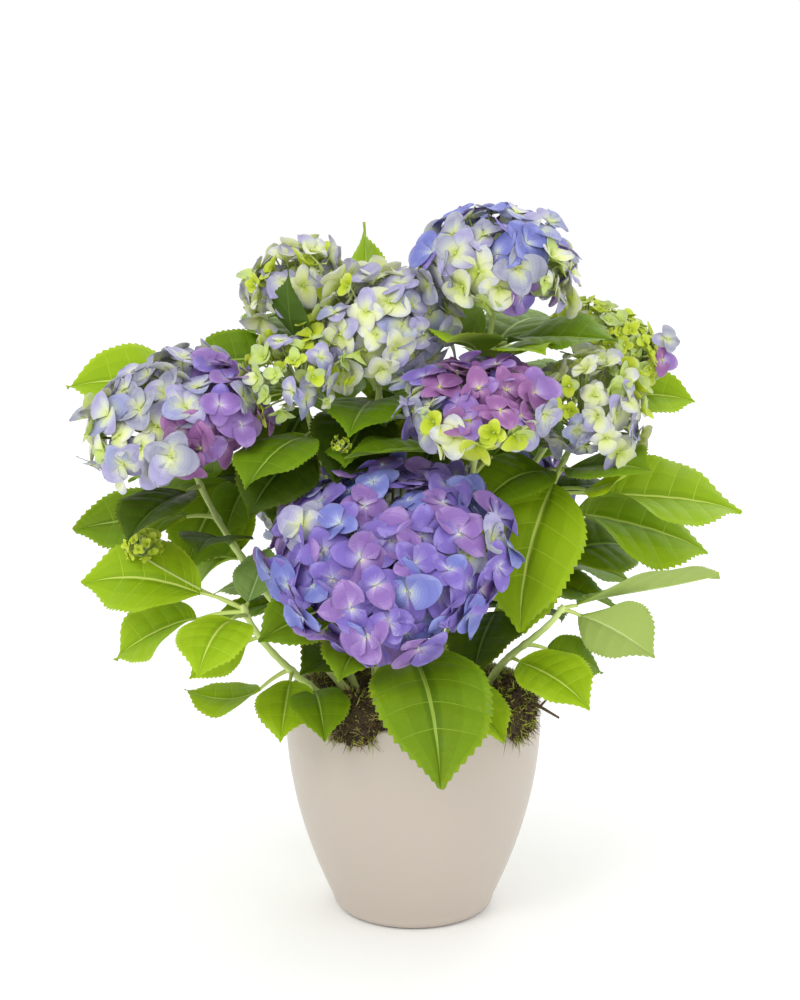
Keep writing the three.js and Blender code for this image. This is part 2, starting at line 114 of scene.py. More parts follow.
# Each shoot has its foot on the soil, the azimuth and pitch it starts with, the share of its cane under the
# first leaf, its head or its tip, and its leaves: place along the cane, azimuth, pitch, stalk, length, droop,
# how far the face is turned to the front, and its tone.
SHOOTS = [
    dict(
        name="front", foot=(-6, -24), starts=(-90, 75), bare=0.2,
        head=dict(centre=(-19, -95, 312), size=(190, 104), faces=-95, tilt=33, florets=86),
        leaves=[
            (0.5, -77, -38, 45, 124, 75, 0, "mid"),
            (0.24, -50, -17, 45, 75, 30, 10, "bright"),
            (0.28, -135, 4, 38, 75, 40, 10, "dark_and_shaded"),
            (0.7, -110, -14, 50, 70, 30, 10, "mid"),
            (0.87, -156, -16, 41, 70, 26, 53, "mid"),
        ],
    ),
    dict(
        name="left", foot=(-46, 4), starts=(178, 50), bare=0.25,
        head=dict(centre=(-180, -20, 398), size=(154, 92), faces=-130, tilt=22, florets=62),
        leaves=[
            (0.72, 175, -9, 24, 90, 20, 40, "mid"),
            (0.85, -120, -15, 20, 82, 30, 0, "dark_and_shaded"),
            (0.6, -105, 10, 12, 78, 40, 0, "dark_and_shaded"),
            (0.55, 132, -21, 6, 76, 30, 70, "bright"),
            (0.48, 119, 10, 29, 80, 38, 41, "bright"),
        ],
    ),
    dict(
        name="low_left", foot=(-52, -34), starts=(-168, 43), bare=0.2,
        tip=(-129, -65, 265), lean=dict(faces=175, tilt=20),
        leaves=[
            (0.97, 165, 0, 36, 98, 35, 45, "bright"),
            (0.95, 163, -30, 40, 80, 35, 45, "bright"),
            (0.92, -106, -18, 36, 78, 60, 0, "bright"),
            (0.96, 68, 42, 8, 52, 0, 0, "grey"),
            (0.75, -172, -30, 8, 55, 20, 45, "bright"),
            (0.44, 163, -6, 30, 66, -60, 20, "bright"),
            (0.42, -95, -30, 14, 62, 30, 0, "bright"),
            (0.28, -80, -21, 30, 62, 60, 0, "mid"),
        ],
    ),
    dict(
        name="mid_left", foot=(-46, 34), starts=(160, 65), bare=0.3,
        tip=(-150, 66, 402), lean=dict(faces=170, tilt=30),
        leaves=[
            (0.97, 175, 3, 28, 104, 20, 40, "bright"),
            (0.97, -58, 20, 10, 70, 20, 0, "mid"),
            (0.85, 100, 5, 20, 110, 40, 0, "mid"),
            (0.6, 160, 0, 24, 112, 40, 10, "mid"),
            (0.72, -120, -44, 14, 60, 40, 10, "mid"),
            (0.77, -143, -56, 22, 90, 33, 43, "mid"),
        ],
    ),
    dict(
        name="back_left", foot=(-30, 36), bare=0.35,
        head=dict(centre=(-90, 50, 486), size=(92, 74), faces=160, tilt=20, florets=34),
        leaves=[
            (0.86, 165, -5, 32, 84, 15, 40, "mid"),
            (0.88, -111, 64, 33, 78, -76, 44, "dark_and_shaded"),
            (0.85, 125, 10, 16, 96, 50, 0, "mid"),
            (0.65, 110, 5, 24, 110, 50, 0, "mid"),
            (0.5, 130, 0, 26, 96, 45, 0, "dark_and_shaded"),
            (0.82, -145, -70, 29, 96, 40, 39, "dark_and_shaded"),
        ],
    ),
    dict(
        name="upper_left", foot=(-14, 8), bare=0.35,
        head=dict(centre=(-24, 6, 464), size=(118, 92), faces=-80, tilt=22, florets=46),
        leaves=[
            (0.84, -102, -5, 18, 86, 40, 0, "mid"),
            (0.8, -85, 5, 14, 50, 10, 0, "mid"),
            (0.65, -105, 7, 20, 90, 40, 0, "mid"),
            (0.85, -109, -25, 15, 95, 20, 25, "dark_and_shaded"),
        ],
    ),
    dict(
        name="small", foot=(-26, -10), bare=0.4,
        head=dict(centre=(-86, -36, 436), size=(86, 60), faces=-110, tilt=25, florets=34),
        leaves=[
            (0.85, -120, -13, 12, 88, 25, 0, "mid"),
            (0.66, 176, 0, 16, 74, 30, 30, "dark_and_shaded"),
            (0.8, -125, -27, 11, 85, 49, 33, "dark_and_shaded"),
        ],
    ),
    dict(
        name="top", foot=(14, 14), bare=0.35,
        head=dict(centre=(64, 15, 509), size=(130, 98), faces=-60, tilt=10, florets=52),
        leaves=[
            (0.86, 131, 15, 12, 88, 10, 20, "mid"),
            (0.88, -20, 7, 16, 88, 15, 10, "mid"),
            (0.84, -110, 16, 14, 82, 30, 0, "bright"),
            (0.82, -62, 14, 14, 82, 30, 0, "bright"),
            (0.76, 73, 1, 37, 92, 36, -12, "bright"),
            (0.84, 60, 5, 18, 100, 45, 0, "mid"),
            (0.56, 5, 0, 20, 90, 45, 0, "dark_and_shaded"),
            (0.8, -148, -54, 20, 96, 17, 27, "dark_and_shaded"),
        ],
    ),
    dict(
        name="mid_purple", foot=(16, -20), bare=0.3,
        head=dict(centre=(45, -65, 417), size=(118, 66), faces=-95, tilt=18, florets=44),
        leaves=[
            (0.88, -166, 4, 22, 79, 21, -3, "mid"),
            (0.81, 50, 8, 27, 94, 38, 29, "mid"),
        ],
    ),
    dict(
        name="mid_cream", foot=(34, 2), starts=(-10, 65), bare=0.25,
        head=dict(centre=(135, -20, 406), size=(92, 90), faces=-50, tilt=35, florets=42),
        leaves=[
            (0.88, -118, -60, 24, 124, 50, 0, "bright"),
            (0.72, 10, -10, 44, 116, 20, 26, "bright"),
            (0.66, 16, -20, 30, 120, 25, 40, "bright"),
            (0.74, -48, 28, 42, 48, -30, 40, "yellow"),
            (0.83, -50, 10, 14, 86, 15, 20, "mid"),
            (0.68, 130, 17, 10, 88, 10, 0, "dark_and_shaded"),
            (0.45, 34, -5, 40, 92, 25, 40, "mid"),
            (0.83, -135, -10, 11, 82, 43, 21, "mid"),
            (0.6, -100, -62, 16, 72, 40, 0, "bright"),
            (0.35, -106, -27, 28, 82, 39, -16, "dark_and_shaded"),
        ],
    ),
    dict(
        name="low_right", foot=(54, -28), bare=0.2,
        tip=(112, -70, 266), lean=dict(faces=10, tilt=30),
        leaves=[
            (0.97, 25, 3, 14, 126, 10, -34, "pale"),
            (0.97, 26, -32, 18, 77, 22, -74, "pale"),
            (0.45, -48, -14, 12, 77, 25, 25, "bright"),
            (0.6, 21, -28, 20, 54, 25, 40, "mid"),
        ],
    ),
    dict(
        name="far_right", foot=(34, 44), bare=0.35,
        head=dict(centre=(152, 75, 438), size=(100, 66), faces=10, tilt=28, florets=108),
        leaves=[
            (0.88, 5, -2, 27, 72, 14, 41, "bright"),
            (0.85, 90, 5, 16, 104, 45, 0, "mid"),
            (0.8, 30, 0, 20, 104, 40, 20, "mid"),
            (0.62, 70, 0, 24, 110, 45, 0, "mid"),
            (0.5, 20, -5, 30, 90, 45, 0, "dark_and_shaded"),
        ],
    ),
    dict(
        name="mid_rear", foot=(0, 48), bare=0.35,
        tip=(-32, 84, 436), lean=dict(faces=100, tilt=15),
        leaves=[
            (0.97, 104, 69, 20, 88, 0, 84, "bright"),
            (0.9, 40, 25, 20, 100, 40, 0, "mid"),
            (0.86, 130, 10, 20, 106, 45, 0, "mid"),
            (0.74, 75, 10, 20, 110, 50, 0, "mid"),
            (0.6, 100, -10, 30, 84, 45, 0, "dark_and_shaded"),
            (0.48, 80, 14, 26, 96, 45, 0, "mid"),
            (0.9, -61, -67, 10, 95, 16, 23, "dark_and_shaded"),
        ],
    ),
    dict(
        name="rear_left", foot=(-22, 58), bare=0.25,
        head=dict(centre=(-66, 148, 290), size=(128, 88), faces=110, tilt=42, florets=46),
        leaves=[
            (0.65, 165, -15, 20, 112, 30, 0, "mid"),
            (0.6, 110, -20, 34, 112, 60, 0, "bright"),
            (0.4, 170, -10, 24, 110, 40, 0, "mid"),
            (0.31, 95, -10, 34, 100, 60, 0, "dark_and_shaded"),
        ],
    ),
    dict(
        name="rear_right", foot=(24, 56), bare=0.25,
        head=dict(centre=(72, 153, 297), size=(132, 90), faces=65, tilt=42, florets=48),
        leaves=[
            (0.7, 0, -10, 20, 116, 30, 0, "mid"),
            (0.6, 55, -20, 34, 112, 60, 0, "bright"),
            (0.45, -5, -5, 26, 112, 40, 0, "mid"),
            (0.3, 40, -15, 30, 104, 50, 0, "dark_and_shaded"),
        ],
    ),
]

# sRGB colours of a leaf by its tone: upper side near the midrib, upper side at the margin, veins, underside
LEAF_TONES = {
    "bright": ("7c9d0e", "8fb118", "bccf58", "96b33c"),
    "yellow": ("9cba0a", "adca18", "cbdc58", "a6c040"),
    "mid": ("56740b", "67890f", "93ac40", "728f34"),
    # The dark tone goes mostly to leaves deep in the crown or hanging under the heads; it is partly a darker
    # green and partly painted shade.
    "dark_and_shaded": ("2c4007", "394f08", "5a7422", "48621f"),
    "pale": ("7a9729", "86a332", "b2c678", "9cb15c"),
    "grey": ("6c8a44", "7c9a50", "a6bb7c", "94aa6e"),
}
LEAF_STEPS = 4  # shades from the midrib to the margin

# sRGB colours of a floret, from its centre to the rim of its petals
FLORET_KINDS = {
    "violet": ("d2d8b0", "a79fcc", "8a7bbe", "7a66b4", "7b68b6", "8f80c4"),
    "blue": ("ccd8b4", "a2abd0", "8087c4", "7076ba", "7379bc", "888ec8"),
    "mauve": ("d2d0b0", "b29cc8", "987bb8", "8a69ac", "8c6cae", "9f84bc"),
    "magenta": ("d0c7a4", "b58fb2", "9b6c9e", "8e5d94", "905f96", "a274a6"),
    "pale_blue": ("c4d270", "c8d29c", "b6bdb8", "a0a6c0", "9296be", "9ca0c4"),
    "lilac": ("c4d46c", "d3dca4", "cbd1bc", "b3b2c8", "9e99c0", "a6a1c6"),
    # The greyish lilac kind below is partly the florets' own tint and partly painted shade, dealt where a
    # head's florets lie in shade.
    "grey_lilac_and_shade": ("b8c860", "c6ce94", "b9bfae", "a0a3b0", "8f90a8", "a0a1b2"),
    "cream": ("b0c83c", "ccdb76", "dee79e", "dfe4b0", "d5d9c2", "c0c2c8"),
    "pale_green": ("9cba30", "b0c852", "bed26c", "bace76", "b0c47a", "aaba88"),
    "lime": ("93ab10", "a6bb1c", "b4c72c", "bccd38", "bacb40", "c6d45c"),
}
PETAL_STEPS = 11  # shades from the centre of a floret to its rim


def rad(degrees):
    return math.radians(degrees)


def unit(v):
    return v / np.linalg.norm(v, axis=-1, keepdims=True)


def direction(azimuth, pitch):
    level = math.cos(rad(pitch))
    return np.array(
        [level * math.cos(rad(azimuth)), level * math.sin(rad(azimuth)), math.sin(rad(pitch))]
    )


def turned(v, axis, angle):
    """v turned about a unit axis, by Rodrigues' formula."""
    return (
        v * math.cos(angle)
        + np.cross(axis, v) * math.sin(angle)
        + axis * np.dot(axis, v) * (1 - math.cos(angle))
    )


def turn_from_up(axis):
    """The matrix that takes +Z to a direction by the shortest way."""
    q = Vector((0, 0, 1)).rotation_difference(Vector(axis))
    return np.array(q.to_matrix())


def spin_matrix(angle):
    c, s = math.cos(angle), math.sin(angle)
    return np.array([[c, -s, 0], [s, c, 0], [0, 0, 1]])


def bumps(x, y, z=0.0):
    """Smooth uneven heights from -1 to 1, for soil and moss."""
    return (
        np.sin(x / 5 + 1) * np.sin(y / 6 + 2)
        + np.sin(x / 11 - y / 9 + z / 6)
        + 0.6 * np.sin(x / 2.3 + z) * np.sin(y / 2.7 - 1)
    ) / 2.6


# Materials


def linear(hex_colour):
    channels = [int(hex_colour[i : i + 2], 16) / 255 for i in (0, 2, 4)]
    return [c / 12.92 if c <= 0.04045 else ((c + 0.055) / 1.055) ** 2.4 for c in channels] + [1.0]


def material(
    name, colour, roughness, grain, bump, depth=0.0003, cells=0, light_through=0.0, coat=0.0, specular=0.5
):
    """A plain base colour, with roughness and relief from a noise, and from cells where it has them."""
    made = bpy.data.materials.new(name)
    made.use_nodes = True
    nodes, links = made.node_tree.nodes, made.node_tree.links
    shader = nodes["Principled BSDF"]
    place = nodes.new("ShaderNodeTexCoord")
    noise = nodes.new("ShaderNodeTexNoise")
    noise.inputs["Scale"].default_value = grain
    noise.inputs["Detail"].default_value = 4
    links.new(place.outputs["Object"], noise.inputs["Vector"])
    spread = nodes.new("ShaderNodeMapRange")
    spread.inputs["From Min"].default_value = 0.3
    spread.inputs["From Max"].default_value = 0.7
    spread.inputs["To Min"].default_value, spread.inputs["To Max"].default_value = roughness
    links.new(noise.outputs["Fac"], spread.inputs["Value"])
    links.new(spread.outputs["Result"], shader.inputs["Roughness"])
    relief = nodes.new("ShaderNodeBump")
    relief.inputs["Strength"].default_value = bump
    relief.inputs["Distance"].default_value = depth
    if cells:
        web = nodes.new("ShaderNodeTexVoronoi")
        web.feature = "DISTANCE_TO_EDGE"
        web.inputs["Scale"].default_value = cells
        links.new(place.outputs["Object"], web.inputs["Vector"])
        both = nodes.new("ShaderNodeMath")
        both.operation = "ADD"
        links.new(web.outputs["Distance"], both.inputs[0])
        links.new(noise.outputs["Fac"], both.inputs[1])
        links.new(both.outputs["Value"], relief.inputs["Height"])
    else:
        links.new(noise.outputs["Fac"], relief.inputs["Height"])
    links.new(relief.outputs["Normal"], shader.inputs["Normal"])
    shader.inputs["Base Color"].default_value = linear(colour)
    shader.inputs["Specular IOR Level"].default_value = specular
    if light_through:
        shader.inputs["Subsurface Weight"].default_value = light_through
        shader.inputs["Subsurface Radius"].default_value = (1.0, 1.0, 0.6)
        shader.inputs["Subsurface Scale"].default_value = 0.002
    if coat:
        shader.inputs["Coat Weight"].default_value = coat
        shader.inputs["Coat Roughness"].default_value = 0.3
    return made


def shades(stops, steps):
    """Hex colours in even steps along a row of them."""
    channels = np.array([[int(stop[i : i + 2], 16) for i in (0, 2, 4)] for stop in stops])
    at = np.linspace(0, len(stops) - 1, steps)
    mixed = np.stack([np.interp(at, range(len(stops)), channels[:, i]) for i in range(3)], axis=-1)
    return ["".join(f"{round(c):02x}" for c in row) for row in mixed]


LEAF_FINISH = dict(roughness=(0.42, 0.6), grain=260, cells=420, bump=0.35, depth=0.0006, specular=0.12)
PETAL_FINISH = dict(roughness=(0.55, 0.75), grain=900, bump=0.25, depth=0.0002, specular=0.2)
MATERIALS = {}
for tone, (inner, outer, vein, under) in LEAF_TONES.items():
    for i, colour in enumerate(shades((inner, outer), LEAF_STEPS)):
        MATERIALS[f"{tone}_{i}"] = material(f"leaf_{tone}_{i}", colour, light_through=0.2, **LEAF_FINISH)
    MATERIALS[f"{tone}_vein"] = material(
        f"leaf_{tone}_vein", vein, roughness=(0.45, 0.55), grain=900, bump=0.1, specular=0.25
    )
    side_vein = shades((outer, vein), 3)[1]
    MATERIALS[f"{tone}_side_vein"] = material(f"leaf_{tone}_side_vein", side_vein, **LEAF_FINISH)
    under_finish = dict(LEAF_FINISH, roughness=(0.6, 0.75), specular=0.1)
    MATERIALS[f"{tone}_under"] = material(f"leaf_{tone}_under", under, **under_finish)
for kind, colours in FLORET_KINDS.items():
    for i, colour in enumerate(shades(colours, PETAL_STEPS)):
        MATERIALS[f"{kind}_{i}"] = material(f"petal_{kind}_{i}", colour, light_through=0.3, **PETAL_FINISH)
for name, full_name, colour, *finish in [
    ("stalk", "green_stalk", "b8ca66", (0.4, 0.55), 700, 0.25),
    ("stem", "green_stem", "cadc84", (0.42, 0.6), 600, 0.4),
    ("bark", "woody_stem", "bcc67c", (0.6, 0.85), 500, 0.8, 0.001),
    ("pedicel", "flower_stalk", "b4c474", (0.45, 0.6), 800, 0.2),
    ("bead_green", "bead_green", "c8d678", (0.35, 0.5), 1500, 0.2),
    ("bead_blue", "bead_blue", "b9c0d8", (0.35, 0.5), 1500, 0.2),
    ("soil", "potting_soil", "2b1f17", (0.8, 1.0), 350, 1.0, 0.002),
    ("crumb", "soil_crumb", "3d2c1f", (0.8, 1.0), 500, 0.8, 0.001),
    ("peat", "peat", "40321c", (0.85, 1.0), 420, 1.0, 0.002),
    ("dead_wood", "dead_wood", "5c4630", (0.7, 0.9), 500, 0.8, 0.001),
    ("strand_brown", "strand_brown", "5e4628", (0.7, 0.9), 900, 0.3),
    ("strand_straw", "strand_straw", "a89a5c", (0.7, 0.9), 900, 0.3),
    ("moss_olive", "moss_olive", "767c24", (0.7, 0.9), 900, 0.3),
    ("moss_green", "moss_green", "a6b238", (0.6, 0.8), 900, 0.3),
]:
    MATERIALS[name] = material(full_name, colour, *finish)
MATERIALS["glaze"] = material(
    "satin_glaze", "b9aea2", roughness=(0.34, 0.44), grain=260, bump=0.06, depth=0.0005, coat=0.12
)


class Piece:
    """Points in millimetres and faces of one material each, gathered into one mesh."""

    def __init__(self):
        self.points, self.faces, self.indices = [], [], []
        self.count = 0
        self.slots = {}

    def slot_of(self, name):
        return self.slots.setdefault(name, len(self.slots))

    def add(self, points, faces, names):
        """names is one material for all faces, or one for each."""
        points = np.asarray(points, dtype=float).reshape(-1, 3)
        first = self.count
        self.points.append(points)
        self.faces.extend([i + first for i in face] for face in faces)
        if isinstance(names, str):
            self.indices.extend([self.slot_of(names)] * len(faces))
        else:
            self.indices.extend(self.slot_of(name) for name in names)
        self.count += len(points)

    def make(self, name, slot, replaced=()):
        mesh = bpy.data.meshes.new(name)
        mesh.from_pydata((np.concatenate(self.points) * MM).tolist(), [], self.faces)
        for material_name in self.slots:
            mesh.materials.append(MATERIALS[material_name])
        mesh.polygons.foreach_set("material_index", self.indices)
        mesh.polygons.foreach_set("use_smooth", [True] * len(self.faces))
        mesh.update()
        made = bpy.data.objects.new(name, mesh)
        bpy.context.scene.collection.objects.link(made)
        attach(made, "root")
        if replaced:
            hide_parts(*replaced)
        return made


def grid_faces(rows, columns, closed=False):
    """The quads of a grid of points, and with closed also those from its last column to its first."""
    faces = []
    across = columns if closed else columns - 1
    for i in range(rows - 1):
        for j in range(across):
            k = (j + 1) % columns
            faces.append((i * columns + j, i * columns + k, (i + 1) * columns + k, (i + 1) * columns + j))
    return faces


def tube(piece, path, radii, sides, name):
    """A round rod along a path, closed by a point at each end."""
    path = np.asarray(path, dtype=float)
    tangents = unit(np.gradient(path, axis=0))
    first = np.cross(tangents[0], FRONT + 0.3 * UP)
    angles = np.arange(sides) * 2 * math.pi / sides
    rings = []
    for point, tangent, radius in zip(path, tangents, radii):
        first = unit(first - tangent * np.dot(first, tangent))
        second = np.cross(tangent, first)
        rings.append(
            point + radius * (np.cos(angles)[:, None] * first + np.sin(angles)[:, None] * second)
        )
    rows = len(path)
    start, end, last = rows * sides, rows * sides + 1, (rows - 1) * sides
    faces = grid_faces(rows, sides, closed=True)
    faces += [((j + 1) % sides, j, start) for j in range(sides)]
    faces += [(last + j, last + (j + 1) % sides, end) for j in range(sides)]
    piece.add(np.concatenate([*rings, path[:1], path[-1:]]), faces, name)


def arc(start, knee, end, count):
    """Points along a bend from start to end, pulled towards a knee."""
    s = np.linspace(0, 1, count)[:, None]
    return (1 - s) ** 2 * start + 2 * s * (1 - s) * knee + s**2 * end


# Stems


class Line:
    """The line of a cane: a cubic curve from its foot on the soil to its end."""

    def __init__(self, shoot):
        head = shoot.get("head")
        leans = head or shoot["lean"]
        arrival = direction(leans["faces"], 90 - leans["tilt"])
        start = np.array([*shoot["foot"], SOIL_TOP], dtype=float)
        end = np.array(head["centre"] if head else shoot["tip"], dtype=float)
        if head:
            end = end - arrival * STEM_END * head["size"][1]
        length = np.linalg.norm(end - start)
        self.knots = [
            start,
            start + direction(*shoot.get("starts", (0, 90))) * CANE_RISE * length,
            end - arrival * CANE_ARRIVAL * length,
            end,
        ]

    def point(self, t):
        a, b, c, d = self.knots
        s = 1 - t
        return s**3 * a + 3 * s * s * t * b + 3 * s * t * t * c + t**3 * d


def stem_radius(t):
    return CANE_RADIUS + (NECK_RADIUS - CANE_RADIUS) * t


def stem_tube(piece, line, low, high, places, random):
    """The stem from one share to another, swollen where leaves join it, woody at its foot and green above."""
    shares = np.linspace(low, high, max(4, int((high - low) * 60)))
    path = [line.point(t) for t in shares]
    phase = random.uniform(0, 6)
    radii = []
    for t in shares:
        nearness = sum(math.exp(-(((t - place) / NODE_LENGTH) ** 2)) for place in places)
        radii.append(stem_radius(t) + NODE_SWELLING * nearness + 0.15 * math.sin(60 * t + phase))
    tube(piece, path, radii, STEM_SIDES, "bark" if high < 0.5 else "stem")


# Leaves


def outline(t):
    """Half the blade's width at a share of its length, as a share of the length, without teeth."""
    rise = np.minimum(1, t / LEAF_WIDEST)
    fall = np.maximum(0, (t - LEAF_WIDEST) / (1 - LEAF_WIDEST))
    drip = 1 - 0.55 * np.clip((t - 0.74) / 0.26, 0, 1) ** 1.2
    return LEAF_WIDTH / 2 * np.sin(rise * math.pi / 2) ** 0.72 * (1 - fall**1.9) * drip


class LeafPattern:
    """The grid of half a blade of unit length. Its rows follow the side veins, which leave the midrib and
    sweep forward to the teeth, and its columns run from the midrib to the margin."""

    COLUMNS = np.array([0.0, 0.035, 0.16, 0.34, 0.54, 0.74, 0.9, 1.0])

    def __init__(self, teeth, veins, depth):
        at_midrib = np.linspace(0, 1, 400)
        sweep = 0.24 * np.minimum(1, at_midrib / 0.12) * (1 - at_midrib)
        at_margin = at_midrib + sweep
        rows = [(0.0, 0.0, 0.0, False)]
        for i in range(teeth):
            valley = FIRST_TOOTH + (1 - FIRST_TOOTH) * i / teeth
            peak = FIRST_TOOTH + (1 - FIRST_TOOTH) * (i + 0.7) / teeth
            envelope = min(1.0, 0.35 + 2 * valley) * min(1.0, 3.2 * (1 - valley) + 0.25)
            rows.append((valley, np.interp(valley, at_margin, at_midrib), 0.0, False))
            foot = np.interp(peak, at_margin, at_midrib)
            if i in veins:
                rows.append((peak - 0.001, foot - 0.0028, depth * envelope, True))
                rows.append((peak + 0.001, foot + 0.0028, depth * envelope, False))
            else:
                rows.append((peak, foot, depth * envelope, False))
        rows.append((1.0, 1.0, 0.0, False))
        margin, midrib, tooth, vein = (np.array(column) for column in zip(*rows))
        self.vein = vein
        b = self.COLUMNS[None, :]
        self.along = midrib[:, None] + (margin - midrib)[:, None] * b**1.15
        self.along = self.along + 0.5 * tooth[:, None] * (b == 1)
        self.along = np.minimum(self.along, 1.0)
        self.out = outline(margin)[:, None] * b + tooth[:, None] * (b == 1)
        self.out[-1] = 0
        where = np.flatnonzero(vein)
        centres = np.concatenate([[0], (midrib[where] + midrib[where + 1]) / 2, [1]])
        after = np.clip(np.searchsorted(centres, midrib) - 1, 0, len(centres) - 2)
        between = (midrib - centres[after]) / (centres[after + 1] - centres[after])
        panel = np.sin(np.pi * np.clip(between, 0, 1))[:, None] * np.sin(np.pi * b**0.8) ** 0.7
        self.panel = panel * np.minimum(1, (centres[after + 1] - centres[after]) / 0.12)[:, None]
        self.across = b + 0 * margin[:, None]


LARGE_LEAF = LeafPattern(teeth=22, veins={1, 3, 6, 9, 12, 15}, depth=0.019)
SMALL_LEAF = LeafPattern(teeth=17, veins={1, 3, 5, 8, 11}, depth=0.022)


def leaf_spine(line, row):
    """Where the blade starts, and the points and directions along it, as in the solids."""
    place, azimuth, pitch, stalk, length, droop, turn = row[:7]
    start = line.point(place)
    base = start + direction(azimuth, pitch + droop / 2) * stalk
    shares = np.linspace(0, 1, SPINE_STEPS + 1)
    step = length / SPINE_STEPS
    points, aheads, sides, facings = [base], [], [], []
    side = np.cross(direction(azimuth, 0), UP)
    for i, share in enumerate(shares):
        ahead = direction(azimuth, pitch + droop * (0.5 - share))
        if i:
            middle = direction(azimuth, pitch + droop * (0.5 - share + 0.5 / SPINE_STEPS))
            points.append(points[-1] + middle * step)
        to_front = np.sign(np.dot(side, FRONT)) * rad(turn) * share**0.3
        facing = turned(np.cross(side, ahead), ahead, to_front)
        aheads.append(ahead)
        facings.append(facing)
        sides.append(np.cross(ahead, facing))
    return start, base, shares, np.array(points), np.array(aheads), np.array(sides), np.array(facings)


def sampled(shares, values, at):
    return np.stack([np.interp(at, shares, values[:, i]) for i in range(3)], axis=-1)


def add_leaf(blades, stalks, line, row, random):
    stalk_length, length, tone = row[3], row[4], row[7]
    pattern = LARGE_LEAF if length > LARGE_LEAF_LENGTH else SMALL_LEAF
    start, base, shares, points, aheads, sides, facings = leaf_spine(line, row)
    wave, second, third = random.uniform(0, 6.28, 3)
    curl = random.uniform(-0.06, 0.02)
    twist = rad(random.uniform(-14, 14))
    crease = random.uniform(0.18, 0.42)
    ruffle = random.uniform(0.014, 0.032)
    rib = 0.9 + 0.006 * length
    for hand in (-1, 1):
        t, y = pattern.along, pattern.out
        centre = sampled(shares, points, t)
        side = sampled(shares, sides, t)
        facing = sampled(shares, facings, t)
        roll = twist * (t - 0.3)[..., None]
        cosine, sine = np.cos(roll), np.sin(roll)
        side, facing = side * cosine + facing * sine, facing * cosine - side * sine
        b = pattern.across
        height = crease * y - 0.55 * y * y
        height = height + ruffle * np.sin(8 * t + wave + 1.3 * hand) * b**2
        height = height + 0.4 * ruffle * np.sin(19 * t + second - hand) * b**2.5
        height = height + 0.012 * np.sin(5 * t + third) * (1 - b)
        height = height + 0.011 * pattern.panel + curl * t**3
        upper = centre + length * (hand * y[..., None] * side + height[..., None] * facing)
        ridge = np.where(b < 0.04, rib * (1 - 0.75 * t), 0.25)
        lower = upper - facing * np.where(b == 1, 0.0, ridge)[..., None]
        rows, columns = t.shape
        faces = grid_faces(rows, columns)
        names = []
        for i in range(rows - 1):
            for j in range(columns - 1):
                if j == 0:
                    names.append(f"{tone}_vein")
                elif pattern.vein[i] and j < 6:
                    names.append(f"{tone}_side_vein")
                else:
                    names.append(f"{tone}_{min(j // 2, LEAF_STEPS - 1)}")
        under = [name if name.endswith("vein") else f"{tone}_under" for name in names]
        outward = [f[::-1] for f in faces]
        blades.add(upper, faces if hand > 0 else outward, names)
        blades.add(lower, outward if hand > 0 else faces, under)
    knee = (start + base) / 2 + 0.1 * stalk_length * UP
    path = arc(start, knee, base - facings[0] * 0.3, 9)
    tube(stalks, path, np.linspace(*LEAF_STALK, 9), 8, "stalk")


# Flower heads

PETAL_ROWS = np.array([0.05, 0.12, 0.2, 0.29, 0.38, 0.48, 0.58, 0.68, 0.78, 0.87, 0.95, 1.0])
PETAL_COLUMNS = np.linspace(-1, 1, 5)


def petal_width(u):
    """Half the petal's width at a share of its length, as a share of the length: a broad round petal."""
    rising = 0.12 + 0.88 * np.sin(np.clip(u / 0.58, 0, 1) * math.pi / 2) ** 1.1
    rounded = np.clip(1 - (np.clip(u - 0.58, 0, 1) / 0.42) ** 1.9, 0, 1) ** 0.62
    return 0.5 * rising * rounded


def petal_grid():
    """Its rows are arcs round the centre of the floret."""
    u = PETAL_ROWS[:, None] + 0 * PETAL_COLUMNS[None, :]
    v = PETAL_COLUMNS[None, :] + 0 * u
    angle = np.arcsin(np.clip(petal_width(u) / u, 0, 0.97)) * v
    return u, v, u * np.cos(angle), u * np.sin(angle)


PETAL_U, PETAL_V, PETAL_X, PETAL_Y = petal_grid()
PETAL_FACES = grid_faces(len(PETAL_ROWS), len(PETAL_COLUMNS))
PETAL_BACKS = [f[::-1] for f in PETAL_FACES]
PETAL_EDGE = np.ones_like(PETAL_U)
PETAL_EDGE[-1] = 0
PETAL_EDGE[:, 0] = PETAL_EDGE[:, -1] = 0


def add_petal(piece, frame_matrix, centre, radius, angle, lift, kind, random, opening):
    rise = opening + random.uniform(-0.1, 0.1)
    recurve = random.uniform(-0.5, -0.1)
    cup = random.uniform(-0.7, 0.6)
    twist = random.uniform(-0.45, 0.45)
    crease = random.uniform(0.0, 0.2)
    ruffle, phase = random.uniform(0.015, 0.055), random.uniform(0, 6.28)
    x = PETAL_X + 0.11 * math.sin(phase) * (1 - np.abs(PETAL_V)) * PETAL_U**4
    y = PETAL_Y * (1 + 0.16 * cup)
    z = rise * PETAL_U + recurve * PETAL_U**2 + cup * y**2 + twist * y * PETAL_U
    z = z + ruffle * np.sin(4 * PETAL_V + 5 * PETAL_U + phase) * PETAL_U**2 + crease * np.abs(y)
    local = np.stack([x * radius, y * radius, z * radius + lift], axis=-1)
    upper = local @ spin_matrix(angle).T @ frame_matrix.T + centre
    lower = upper - 0.35 * PETAL_EDGE[..., None] * (frame_matrix @ UP)
    streaks = random.integers(0, 3, len(PETAL_COLUMNS) - 1)
    steps = [min(PETAL_STEPS - 1, i + streak) for i in range(len(PETAL_ROWS) - 1) for streak in streaks]
    names = [f"{kind}_{step}" for step in steps]
    backs = [f"{kind}_{max(1, step - 2)}" for step in steps]
    piece.add(upper, PETAL_FACES, names)
    piece.add(lower, PETAL_BACKS, backs)


